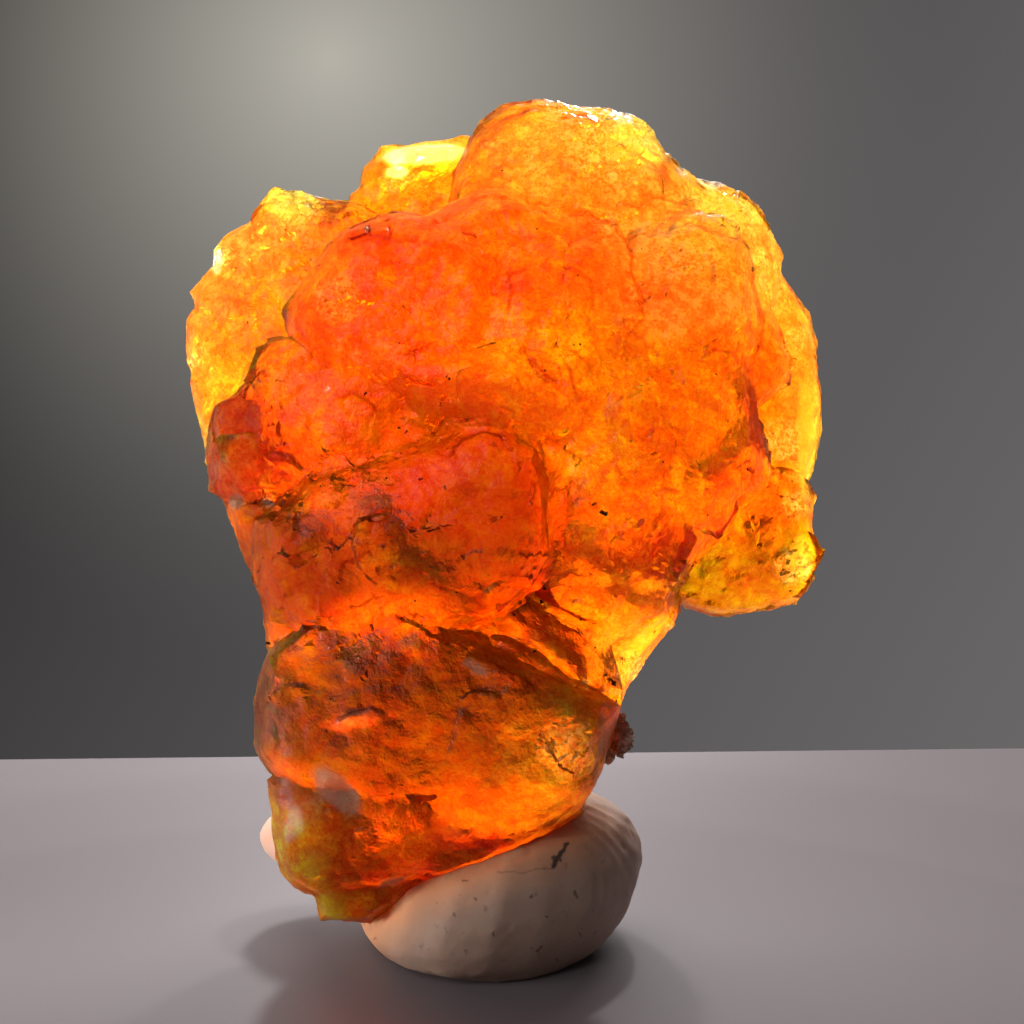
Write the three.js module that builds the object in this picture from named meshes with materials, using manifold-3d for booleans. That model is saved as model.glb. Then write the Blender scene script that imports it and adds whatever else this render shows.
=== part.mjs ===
// A cluster of intergrown orange wulfenite crystals, held upright by a lump of grey mineral putty.
//
// Millimetres, +Z up, +Y away from the front, origin at the middle of the putty's flat foot.
//
// The cluster is built from lobes. A lobe is a domed plate of crystal with a broken, many-cornered
// rim. Its outline is drawn in the front view, on the plane y = 0 as seen from EYE, and every ring
// of the plate is then carried along the lines of sight to its own depth. Smaller tabular crystals
// are sunk in the front faces. All of it is joined into one solid, because it grew as one piece.

import * as THREE from "three";
import { ConvexGeometry } from "three/addons/geometries/ConvexGeometry.js";
import { mergeVertices } from "three/addons/utils/BufferGeometryUtils.js";
import Module from "manifold-3d";

const EYE = new THREE.Vector3(0.7, -62, 25.9); // where the front view is seen from
const CORNER_SPACING = 4; // longest straight run of a rim
const RIM_WOBBLE = 0.16; // how far the added rim corners stray
const FACE_WOBBLE = 0.4; // how far the corners of a face stray in depth
const SIDE_WOBBLE = 0.06; // share of that stray by which a corner's distance from the middle changes
const BACK_SWELL = 0.8; // how far a lobe's back swells where nothing else is said
const SHOULDER = 0.93; // share of the way to the rim where the front face turns down to it
const SHOULDER_SLOPE = 8; // how steeply it turns down there
const CAP_RISE = 0.1; // how far a terrace's middle stands out of its ring

const CRYSTAL_REACH = 0.86; // how near the rim the outermost sunk crystals lie
const CRYSTAL_FLATNESS = 0.4; // depth of a sunk crystal against its width
const BEVEL_SHARE = 0.74; // size of a crystal's flat face against its rim
const BEVEL_DROP = 0.16; // share of its depth by which that rim lies lower than the flat face
const LEDGE = 0.06; // how far the middle of a sunk crystal stands out of a face
const LEAN_IN = 0.06; // slope of a sunk crystal against the face it is sunk in
const STRAY_TILT = 0.08; // how much its facing strays on top of that
const GOLDEN_TURN = 0.618; // share of a turn between one crystal and the next

const SEAT_GAP = 0.3; // clearance between the cluster and what touches it
const SEAT_SPREAD = 1.6; // a slanted rim needs more growth along its radius to clear by SEAT_GAP

const FOOT_RADIUS = 5.5; // flat contact of the putty with the ground
const PUTTY_RADIUS = 8.7; // at its widest
const PUTTY_HEIGHT = 9.2;
const PUTTY_DEPTH_SHARE = 0.92; // front to back, against side to side
const PUTTY_SIDES = 20;
// Its side, from the foot to the top, as shares of the widest radius and of the height.
const PUTTY_PROFILE = [
  [0, 0], [FOOT_RADIUS / PUTTY_RADIUS, 0], [0.86, 0.1], [0.97, 0.27], [1, 0.46], [0.96, 0.64],
  [0.83, 0.82], [0.6, 0.94], [0.31, 0.99], [0, 1],
];
const PUTTY_SAG = 0.34; // share of the height that the left side has lost
const PUTTY_LOBING = 0.035; // how far its plan strays from round, in three lobes
const PUTTY_LEAN = 0.16; // how far it leans to the right as it rises
const SLUMP = { height: 1.2, left: 0.9, back: 0.8 }; // above its foot it has slumped left and back
const TONGUE = { middle: [-10.5, 5.3, 4.9], reach: [5.4, 4, 2.5] };

const CRUMBS = [[6.7, -0.8, 12.5, 1.3], [6.3, 0.6, 11.5, 1.1], [6.9, 0.2, 13.2, 0.9]]; // x, y, z, radius
const CRUMB_CORNERS = 14;
const CRUMB_SEED = 500;

const AMBER = 0xe8600a;
const PUTTY_GREY = 0x8c857c;
const RUST_BROWN = 0x3f2416;

const wasm = await Module();
wasm.setup();

// A repeatable source of random numbers from 0 to 1.
function seeded(seed) {
  let state = seed * 2654435761;
  return () => {
    state = (state + 0x6d2b79f5) | 0;
    let t = Math.imul(state ^ (state >>> 15), 1 | state);
    t = (t + Math.imul(t ^ (t >>> 7), 61 | t)) ^ t;
    return ((t ^ (t >>> 14)) >>> 0) / 4294967296;
  };
}

// A closed geometry as a manifold-3d solid.
function solidOf(geometry) {
  const bare = geometry.clone();
  bare.deleteAttribute("normal");
  bare.deleteAttribute("uv");
  const merged = mergeVertices(bare, 1e-4);
  return new wasm.Manifold(
    new wasm.Mesh({
      numProp: 3,
      vertProperties: new Float32Array(merged.attributes.position.array),
      triVerts: new Uint32Array(merged.index.array),
    }),
  );
}

function geometryOf(solid) {
  const { numProp, numVert, vertProperties, triVerts } = solid.getMesh();
  const positions = new Float32Array(numVert * 3);
  for (let i = 0; i < numVert; i++) {
    positions.set(vertProperties.subarray(i * numProp, i * numProp + 3), i * 3);
  }
  const geometry = new THREE.BufferGeometry();
  geometry.setAttribute("position", new THREE.BufferAttribute(positions, 3));
  geometry.setIndex(new THREE.BufferAttribute(triVerts, 1));
  return geometry;
}

// The front view's point (u, v), carried along its line of sight to depth y.
function carried(u, v, y) {
  const reach = (y - EYE.y) / -EYE.y;
  return new THREE.Vector3(EYE.x + (u - EYE.x) * reach, y, EYE.z + (v - EYE.z) * reach);
}

// An outline with corners added so that no side is longer than CORNER_SPACING.
function brokenOutline(outline, random) {
  const corners = [];
  outline.forEach(([u, v], i) => {
    const [nextU, nextV] = outline[(i + 1) % outline.length];
    const side = Math.hypot(nextU - u, nextV - v);
    const runs = Math.max(1, Math.round(side / CORNER_SPACING));
    for (let k = 0; k < runs; k++) {
      const stray = k === 0 ? 0 : (random() - 0.5) * 2 * RIM_WOBBLE;
      const share = k / runs;
      corners.push(
        new THREE.Vector2(
          u + (nextU - u) * share + ((nextV - v) / side) * stray,
          v + (nextV - v) * share - ((nextU - u) / side) * stray,
        ),
      );
    }
  });
  if (THREE.ShapeUtils.area(corners) < 0) corners.reverse();
  return corners;
}

// A lobe's rings from its front to its back: each has its share of the outline's size and its
// distance behind the lobe's middle plane. A terrace is a growth step on the front face.
function ringsOf({ rim, dome, back, terrace }, grow) {
  const front = [
    [0.58, -(rim + dome * 0.66)],
    [0.9, -(rim + dome * 0.16)],
  ];
  if (terrace) {
    const [share, height] = terrace;
    const base = rim + dome * (1 - share * share);
    front.splice(0, 1, [share * 0.94, -(base + height)], [share, -base]);
  }
  const rings = [
    ...front,
    [1, -rim * 0.35],
    [1, rim * 0.4],
    [0.8, rim + back * 0.35],
  ];
  return rings.map(([share, y]) => [share, y + Math.sign(y) * grow]);
}

class Lobe {
  constructor(spec, seed) {
    this.spec = { lean: [0, 0], dome: 0, back: BACK_SWELL, crystals: 0, ...spec };
    this.random = seeded(seed);
    this.corners = brokenOutline(spec.outline, this.random);
    this.middle = this.corners
      .reduce((sum, corner) => sum.add(corner), new THREE.Vector2())
      .divideScalar(this.corners.length);
    this.strays = this.corners.map(() =>
      Array.from({ length: 9 }, () => (this.random() - 0.5) * 2 * FACE_WOBBLE),
    );
  }

  // Depth of the lobe's middle plane under a point of the front view.
  planeDepth(u, v) {
    const [leanU, leanV] = this.spec.lean;
    return this.spec.depth + leanU * (u - this.middle.x) + leanV * (v - this.middle.y);
  }

  geometry(grow = 0) {
    const rings = ringsOf(this.spec, grow);
    const { rim, dome, back, terrace } = this.spec;
    const count = this.corners.length;
    const points = [];
    rings.forEach(([share, offset], ring) => {
      this.corners.forEach((corner, i) => {
        const spoke = corner.clone().sub(this.middle);
        const spread = share * (1 + (grow * SEAT_SPREAD) / spoke.length());
        const stray = share < 1 ? this.strays[i][ring] : 0;
        const at = spoke.multiplyScalar(spread * (1 + stray * SIDE_WOBBLE)).add(this.middle);
        points.push(carried(at.x, at.y, this.planeDepth(at.x, at.y) + offset + stray * share));
      });
    });
    const peak = terrace ? -rings[0][1] + CAP_RISE : rim + dome + grow;
    const { x, y } = this.middle;
    points.push(carried(x, y, this.spec.depth - peak));
    points.push(carried(x, y, this.spec.depth + rim + back + grow));

    const faces = [];
    const frontTip = points.length - 2;
    const backTip = points.length - 1;
    const lastRing = (rings.length - 1) * count;
    for (let i = 0; i < count; i++) {
      const next = (i + 1) % count;
      faces.push(frontTip, i, next);
      faces.push(backTip, lastRing + next, lastRing + i);
      for (let ring = 0; ring < rings.length - 1; ring++) {
        const here = ring * count;
        const there = here + count;
        faces.push(here + i, there + i, there + next);
        faces.push(here + i, there + next, here + next);
      }
    }
    const geometry = new THREE.BufferGeometry().setFromPoints(points);
    geometry.setIndex(faces);
    return geometry;
  }

  // The front face at a share of the way from the middle to the rim: the point, the normal, the way
  // back to the middle and the distance left to the rim.
  frontPoint(turn, share) {
    const place = (t, s) => {
      const index = (t * this.corners.length) % this.corners.length;
      const low = Math.floor(index);
      const corner = this.corners[low]
        .clone()
        .lerp(this.corners[(low + 1) % this.corners.length], index - low);
      const at = corner.sub(this.middle).multiplyScalar(s).add(this.middle);
      const { rim, dome } = this.spec;
      const turnedDown = rim * (1 - (s - SHOULDER) * SHOULDER_SLOPE);
      const offset = s < SHOULDER ? rim + dome * (1 - s * s) : turnedDown;
      return carried(at.x, at.y, this.planeDepth(at.x, at.y) - offset);
    };
    const point = place(turn, share);
    const along = place(turn + 0.02, share).sub(point);
    const inward = place(turn, share - 0.05).sub(point).normalize();
    const normal = along.cross(inward).normalize();
    if (normal.y > 0) normal.negate();
    const room = place(turn, 1).distanceTo(point);
    return { point, normal, inward, room };
  }
}

// A tabular crystal lying in the XY plane: a flat face of four to six sides, bevelled down to its
// rim, over a body that tapers to a point because it is always sunk in a lobe.
function tabularCrystal(width, thickness, random) {
  const sides = 4 + Math.floor(3 * random());
  const points = [new THREE.Vector3(0, 0, -thickness)];
  for (let k = 0; k < sides; k++) {
    const angle = ((k + 0.5 * (random() - 0.5)) / sides) * 2 * Math.PI;
    const reach = (width / 2) * (0.85 + 0.3 * random());
    const corner = new THREE.Vector3(Math.cos(angle) * reach * 1.2, Math.sin(angle) * reach * 0.9, 0);
    points.push(corner.clone().multiplyScalar(BEVEL_SHARE), corner.setZ(-BEVEL_DROP * thickness));
  }
  return new ConvexGeometry(points);
}

// Crystals sunk into a lobe's front face on a sunflower pattern, as overlapping scales: each leans
// in, so that its outer edge stands out of the face as a ledge.
function crystalsOn(lobe, seed, grow) {
  const { crystals, crystalSize } = lobe.spec;
  const random = seeded(seed);
  const made = [];
  for (let k = 0; k < crystals; k++) {
    const turn = (k * GOLDEN_TURN + 0.1 * random()) % 1;
    const share = CRYSTAL_REACH * Math.sqrt((k + 0.5) / crystals);
    const { point, normal, inward, room } = lobe.frontPoint(turn, share);
    const width = Math.min(crystalSize * (0.75 + 0.5 * random()), 1.6 * room) + 2 * grow;
    const stray = new THREE.Vector3(random() - 0.5, random() - 0.5, random() - 0.5);
    const facing = normal
      .clone()
      .addScaledVector(inward, LEAN_IN * (0.5 + random()))
      .addScaledVector(stray, STRAY_TILT)
      .normalize();
    const along = new THREE.Vector3().crossVectors(inward, facing).normalize();
    const across = new THREE.Vector3().crossVectors(facing, along);
    const geometry = tabularCrystal(width, CRYSTAL_FLATNESS * width, random);
    geometry.rotateZ((random() - 0.5) * 0.8);
    geometry.applyMatrix4(new THREE.Matrix4().makeBasis(along, across, facing));
    geometry.translate(...point.addScaledVector(normal, LEDGE * (0.6 + 0.6 * random()) + grow));
    made.push(solidOf(geometry));
  }
  return made;
}

// The lobes, by place. depth is the middle plane's y, rim half the plate's thickness at its edge,
// dome and back how far its two faces swell, and lean how fast the plate recedes along u and v.
const LOBES = {
  core: {
    outline: [
      [-10.2, 41], [0, 45.8], [10.8, 41], [13.2, 31.4], [8.4, 23], [-1.2, 20.6], [-10.2, 25.4],
      [-13.8, 32.6],
    ],
    depth: 0, rim: 4.2, dome: 1.5, back: 2.5,
  },
  leftFan: {
    outline: [
      [-9, 44.7], [-10.5, 44.8], [-12, 45.1], [-13.5, 45.3], [-14.3, 44.6], [-15.1, 43.3],
      [-16.7, 42.5], [-17.2, 41.6], [-17.3, 40.7], [-18.7, 39.1], [-18.3, 38.1], [-18.9, 37.5],
      [-18.9, 35.6], [-18.5, 33.2], [-17.8, 30.2], [-17.4, 27.8], [-12, 26.6], [-4.8, 31.4],
      [-4.2, 41.6],
    ],
    depth: 3.4, lean: [-0.28, 0.1], rim: 1.3, dome: 1, back: 1.2,
    crystals: 6, crystalSize: 4.2,
  },
  topLeftBlock: {
    outline: [
      [-9.1, 44.9], [-8.4, 45.4], [-8.3, 46.4], [-7.2, 47.8], [-2, 48.4], [-0.6, 47.6], [0, 42.8],
      [-9.3, 43],
    ],
    depth: 4.6, lean: [0, 0.3], rim: 1.5, dome: 0.3, back: 0.6,
    crystals: 3, crystalSize: 3,
  },
  topDome: {
    outline: [
      [-3.6, 41], [-2.7, 46.4], [-1.2, 49.4], [0, 50.3], [2.4, 50.7], [4.8, 50.3], [6.6, 50],
      [8.4, 49.4], [9.3, 48.5], [10.1, 47], [11.4, 46.1], [12, 42.8], [9.6, 38.6], [3.6, 36.2],
      [-1.8, 37.4],
    ],
    depth: 1.6, lean: [0, 0.3], rim: 2, dome: 2, back: 2,
    crystals: 6, crystalSize: 4.2,
  },
  topRight: {
    outline: [
      [9, 45.5], [11.1, 46.3], [12, 45.7], [13.2, 45.7], [14.4, 45.2], [15.1, 44.6], [15.9, 43.1],
      [16.9, 41.3], [16.7, 40.3], [16.2, 36.8], [12, 33.8], [7.2, 37.4],
    ],
    depth: 2.4, lean: [0.2, 0.2], rim: 1.7, dome: 1.4, back: 1.6,
    crystals: 5, crystalSize: 3.6,
  },
  rightRim: {
    outline: [
      [14.4, 42.8], [16.7, 40.5], [17.7, 38.9], [18.5, 37.9], [19, 36.2], [19.2, 33.8], [19.3, 30.8],
      [19.1, 29], [18.5, 27.7], [15.6, 25.4], [10.8, 27.8], [10.2, 36.8],
    ],
    depth: 4.8, lean: [0.25, 0], rim: 1.4, dome: 1.1, back: 1.2,
    crystals: 4, crystalSize: 4,
  },
  lowerRight: {
    outline: [
      [17.4, 28.4], [18.5, 27.7], [18.9, 26.9], [18.7, 24.8], [19, 22.7], [18.4, 21.2], [17.7, 20.4],
      [16.2, 20], [13.8, 19.6], [12.3, 19.7], [11.1, 20.1], [9, 22.4], [9.6, 27.2], [13.2, 29.6],
    ],
    depth: 3.2, lean: [0.12, -0.08], rim: 1.8, dome: 1.3, back: 1.4,
    crystals: 2, crystalSize: 4,
  },
  rightScallop: {
    outline: [
      [15, 39.2], [15.9, 38.3], [17.1, 36.2], [17.7, 34.7], [17.4, 33.5], [16.2, 32.6], [14.4, 31.4],
      [11, 32.8], [12, 38],
    ],
    depth: 0.4, lean: [0.2, 0], rim: 1.5, dome: 0.7,
  },
  rightLobe: {
    outline: [
      [6, 41.6], [9, 43.4], [12, 43.9], [14.1, 43.2], [15, 41], [15.4, 39.2], [15.6, 37.4], [15.4, 35],
      [15.1, 32.6], [15.7, 31.1], [16.1, 29.6], [16.2, 28.1], [15.3, 26.7], [14.4, 26.3], [14.1, 25.4],
      [12.9, 23.9], [11.7, 22.7], [10.7, 21.5], [10.3, 20.6], [9.9, 19.1], [8.4, 18.5], [6, 17.9],
      [3, 19.4], [1.2, 24.2], [1.2, 31.4], [3.6, 38.6],
    ],
    depth: -1.4, lean: [0.16, 0], rim: 2.1, dome: 3,
    crystals: 6, crystalSize: 5,
  },
  upperMiddle: {
    outline: [
      [0, 41.6], [2.4, 43.7], [6, 43.8], [6.9, 42.8], [7.7, 41], [8.3, 38.6], [8.2, 37.4], [7.2, 35.6],
      [6, 32.6], [2.4, 30.8], [-1.8, 32.6], [-1.8, 38.6],
    ],
    depth: -3.2, lean: [0.05, 0.2], rim: 1.9, dome: 1.8,
    crystals: 4, crystalSize: 4,
  },
  upperLeft: {
    outline: [
      [-12.9, 36.7], [-13, 38], [-12, 39.5], [-10.5, 41.6], [-9.3, 42.9], [-7.8, 43.5], [-6, 43.9],
      [-4.2, 43.6], [-2.4, 43.1], [-0.6, 42.2], [0.3, 40.7], [0.7, 37.4], [-0.6, 33.8], [-6, 32],
      [-10.2, 33.2],
    ],
    depth: -3, lean: [-0.08, 0.12], rim: 1.9, dome: 1.6, terrace: [0.8, 0.7],
    crystals: 3, crystalSize: 3.4,
  },
  leftMiddle: {
    outline: [
      [-14.3, 35.6], [-14.1, 36.4], [-12.6, 36.5], [-9, 35.9], [-4.2, 32.6], [-3.6, 27.8], [-10.2, 26],
      [-16.5, 26.6], [-17.5, 27.2], [-17.7, 30.2], [-17.1, 32.3], [-15.9, 32.9], [-14.7, 34.3],
    ],
    depth: -2.2, lean: [-0.2, 0.05], rim: 1.9, dome: 2,
    crystals: 5, crystalSize: 4.2,
  },
  centre: {
    outline: [
      [-6.3, 35], [-3.6, 35.7], [0, 36.2], [3.6, 35.9], [6, 34.4], [6.3, 32.6], [3.6, 30.2],
      [-1.2, 30.8], [-4.8, 31.4],
    ],
    depth: -5.2, rim: 1.5, dome: 1.4,
    crystals: 3, crystalSize: 4.2,
  },
  frontLobe: {
    outline: [
      [-14.7, 25.4], [-12, 27.2], [-8.4, 29], [-4.8, 30.2], [-3, 31.1], [0, 31.7], [1.8, 30.8],
      [3.3, 28.4], [3.1, 26.6], [3, 24.8], [3.4, 23.9], [2.9, 22.1], [1.2, 20.3], [0, 19.4],
      [-4.2, 18.2], [-10.2, 18.2], [-13.9, 19.4], [-14.9, 22.1],
    ],
    depth: -4.5, lean: [0, -0.06], rim: 2.3, dome: 2.1,
    crystals: 4, crystalSize: 4.6,
  },
  frontBoss: {
    outline: [
      [-3.6, 28.4], [-2.4, 30.2], [0, 30.7], [2.1, 29.6], [3, 27.8], [2.8, 25.4], [3, 23.6],
      [1.8, 21.5], [-0.6, 21.2], [-3, 23.6],
    ],
    depth: -7, rim: 1.2, dome: 0.7,
  },
  upperBlade: {
    outline: [
      [-0.6, 20.3], [1.6, 19.4], [3.4, 17.9], [5.2, 16.4], [4.5, 15.7], [2.9, 17], [-0.4, 18.9],
    ],
    depth: -3.7, rim: 1.5, dome: 0.1,
  },
  lowerBlade: {
    outline: [[-0.6, 18.4], [0.9, 18.4], [2.4, 17.3], [4.9, 15.4], [3.6, 14.6], [-0.6, 16.4]],
    depth: -4.2, rim: 1.6, dome: 0.1,
  },
  middleNeck: {
    outline: [[-6, 21], [1, 21], [6.4, 18.4], [7.3, 15.2], [4, 13], [-6, 15]],
    depth: -1.7, rim: 2.4, dome: 0.4,
  },
  leftNeck: {
    outline: [
      [-16.7, 26.7], [-15.6, 23.9], [-15, 22.3], [-14.3, 20.6], [-13.9, 17.7], [-12, 15.8],
      [-4.8, 15.8], [-4.8, 27.8], [-12, 28.4],
    ],
    depth: 0, rim: 3.6, dome: 1, back: 1.4,
    crystals: 2, crystalSize: 3.4,
  },
  rightNeck: {
    outline: [
      [3.6, 23], [10.8, 21.2], [10.9, 19.9], [10.3, 18.7], [9, 17.6], [8.3, 16.4], [7.4, 15],
      [7.1, 13.8], [6.2, 13.4], [2.4, 14.6], [1.2, 20.6],
    ],
    depth: 0.8, rim: 2.3, dome: 0.8, back: 1,
  },
  stem: {
    outline: [
      [-13.9, 17.6], [-12, 18.9], [-9, 19.9], [-4.8, 19.9], [1.2, 17.3], [6, 15.1], [7.1, 14.2],
      [6.6, 12.4], [6.2, 10.7], [3.6, 8.6], [-3.6, 8.6], [-12, 9.2], [-14, 10.4], [-14.7, 11.9],
      [-14.8, 14.6], [-14.4, 16.4],
    ],
    depth: -3.2, rim: 3.4, dome: 1.6, back: 1.5,
    crystals: 4, crystalSize: 4.6,
  },
  stemRight: {
    outline: [
      [-3.6, 12.8], [-3, 14.3], [0, 15.2], [3.6, 15.3], [5.7, 14.3], [6.3, 12.2], [6.2, 10.4],
      [5.6, 9.1], [4.8, 8], [2.7, 7], [0, 6.5], [-2.4, 7.4], [-3.3, 9.8],
    ],
    depth: -4.2, rim: 2.2, dome: 1.5,
    crystals: 2, crystalSize: 3.6,
  },
  stemLeft: {
    outline: [
      [-14, 9.8], [-12, 11], [-7.2, 10.4], [-4.2, 9.2], [-3.3, 6.8], [-3.6, 4.9], [-6, 3.7], [-10.2, 3],
      [-11.3, 3], [-12.3, 3.3], [-13.4, 4.5], [-13.8, 7.4],
    ],
    depth: -2.8, rim: 3, dome: 1.1,
    crystals: 2, crystalSize: 3.8,
  },
  tab: {
    outline: [
      [-11.2, 3.6], [-6, 4.6], [-4.8, 3.7], [-6.3, 2.3], [-7.7, 1.3], [-9.3, 1.2], [-10.8, 1.4],
    ],
    depth: -3.2, rim: 1.5, dome: 0.2,
  },
  root: {
    outline: [[-5, 11], [-1.4, 9.6], [3.6, 9], [5, 8], [3.2, 6.6], [-0.6, 5], [-4.6, 3.6], [-6.4, 5]],
    depth: -2.8, rim: 2.4, dome: 0.6,
  },
  backUpper: {
    outline: [
      [-12, 42.2], [-4.8, 45.8], [3.6, 47.6], [9.6, 45.2], [12, 39.8], [8.4, 32.6], [-1.2, 30.8],
      [-10.2, 33.8],
    ],
    depth: 4.4, rim: 1.8, back: 2.2,
  },
  backRight: {
    outline: [
      [3.6, 38.6], [10.8, 42.2], [16.2, 37.4], [17.4, 30.2], [13.2, 24.2], [6, 23], [2.4, 30.2],
    ],
    depth: 4.8, rim: 1.7, back: 2,
  },
  backLeft: {
    outline: [[-16.8, 37.4], [-10.8, 41], [-4.2, 38.6], [-3, 30.8], [-8.4, 26.6], [-15.6, 28.4]],
    depth: 4.6, rim: 1.7, back: 1.8,
  },
  backCentre: {
    outline: [[-6, 36.8], [1.2, 38.6], [6.6, 33.8], [5.4, 25.4], [-1.8, 21.8], [-8.4, 26.6]],
    depth: 6.2, rim: 1.6, back: 1.8,
  },
  backStem: {
    outline: [
      [-12.6, 23], [-4.8, 24.2], [3.6, 20.6], [5.4, 12.2], [1.2, 7.4], [-8.4, 6.2], [-12.6, 12.2],
    ],
    depth: 1.6, rim: 3.4, back: 1.8,
  },
};
const SEATED = ["stem", "stemRight", "stemLeft", "tab", "root", "backStem"]; // lobes that meet the putty

function joined(solids) {
  return solids.reduce((whole, solid) => whole.add(solid));
}

// The one large body of a solid, without its crumbs and with its inner hollows filled.
function filled(solid) {
  return solid.decompose().sort((a, b) => b.volume() - a.volume())[0];
}

function grownLobes(names, grow = 0) {
  const order = Object.keys(LOBES);
  return names.flatMap((name) => {
    const seed = order.indexOf(name) + 1;
    const lobe = new Lobe(LOBES[name], seed);
    return [solidOf(lobe.geometry(grow)), ...crystalsOn(lobe, seed * 97, grow)];
  });
}

// The putty: a soft ball pressed flat on the ground, higher to the right, with a tongue of it
// squeezed out behind the cluster's lower left corner.
function puttySolid(seat) {
  const profile = PUTTY_PROFILE.map(([r, h]) => new THREE.Vector2(r * PUTTY_RADIUS, h * PUTTY_HEIGHT));
  const ball = new THREE.LatheGeometry(profile, PUTTY_SIDES);
  ball.rotateX(Math.PI / 2);
  const position = ball.attributes.position;
  for (let i = 0; i < position.count; i++) {
    const [x, y, z] = [position.getX(i), position.getY(i), position.getZ(i)];
    const sag = 1 - PUTTY_SAG * THREE.MathUtils.smoothstep(-x, -5, 7);
    const bulge = 1 + PUTTY_LOBING * Math.sin(3 * Math.atan2(y, x) + 0.6);
    const slump = THREE.MathUtils.smoothstep(z, 0, SLUMP.height);
    const across = x * bulge - SLUMP.left * slump + PUTTY_LEAN * z;
    const behind = y * bulge * PUTTY_DEPTH_SHARE + SLUMP.back * slump;
    position.setXYZ(i, across, behind, z * sag);
  }
  const tongue = new THREE.SphereGeometry(1, 14, 8);
  tongue.scale(...TONGUE.reach).translate(...TONGUE.middle);
  return filled(solidOf(ball).add(solidOf(tongue)).subtract(joined(seat)));
}

// A broken crumb with many corners.
function crumb([x, y, z, radius], seed) {
  const random = seeded(seed);
  const points = Array.from({ length: CRUMB_CORNERS }, () => {
    const fromPole = Math.acos(2 * random() - 1);
    const around = random() * 2 * Math.PI;
    const corner = new THREE.Vector3().setFromSphericalCoords(1, fromPole, around);
    return corner.multiplyScalar(radius * (0.86 + 0.2 * random())).add(new THREE.Vector3(x, y, z));
  });
  return solidOf(new ConvexGeometry(points));
}

// Rusty matrix left where the cluster broke from the rock, on the stem's right edge.
function matrixSolid(seat) {
  const crumbs = CRUMBS.map((place, i) => crumb(place, CRUMB_SEED + i));
  return filled(joined(crumbs).subtract(joined(seat)));
}

function pieceOf(name, solid, color, roughness) {
  const material = new THREE.MeshStandardMaterial({ color, roughness, metalness: 0, flatShading: true });
  const piece = new THREE.Mesh(geometryOf(solid), material);
  piece.name = name;
  return piece;
}

const specimen = new THREE.Group();
const cluster = filled(joined(grownLobes(Object.keys(LOBES))));
const seat = grownLobes(SEATED, SEAT_GAP);
const neckSeat = grownLobes(["rightNeck", "stem", "backStem"], SEAT_GAP);
specimen.add(
  pieceOf("wulfenite_cluster", cluster, AMBER, 0.25),
  pieceOf("putty_lump", puttySolid(seat), PUTTY_GREY, 0.8),
  pieceOf("rusty_matrix", matrixSolid([...seat, ...neckSeat]), RUST_BROWN, 0.9),
);

export default specimen;
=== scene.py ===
"""A wulfenite cluster on its lump of putty.

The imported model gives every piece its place. Here the crystal gets its ledges and crinkled faces,
its see-through amber and its dark inclusions, the putty its finger ridges and smudges, and the
matrix its glittering grains. Lengths are in millimetres, and become metres as each piece is made.
"""

import math

import bpy
import numpy as np
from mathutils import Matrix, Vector
from mathutils.bvhtree import BVHTree


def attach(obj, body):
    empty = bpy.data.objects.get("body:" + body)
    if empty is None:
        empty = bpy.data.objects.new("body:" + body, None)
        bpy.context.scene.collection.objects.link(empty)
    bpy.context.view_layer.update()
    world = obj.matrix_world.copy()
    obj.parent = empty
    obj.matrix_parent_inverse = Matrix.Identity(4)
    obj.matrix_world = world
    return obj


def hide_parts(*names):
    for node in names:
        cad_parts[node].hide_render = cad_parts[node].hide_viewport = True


MM = 0.001

# The camera, in millimetres of the frame: level, close, and a little above the middle.
EYE = (0.7, -62.0, 25.9)
LENS = 36.3
SENSOR = 36.0
FRAME = 1024
FOCAL = FRAME * LENS / SENSOR
PIXEL = 0.06  # size of one pixel of the frame at the front of the specimen

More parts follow.
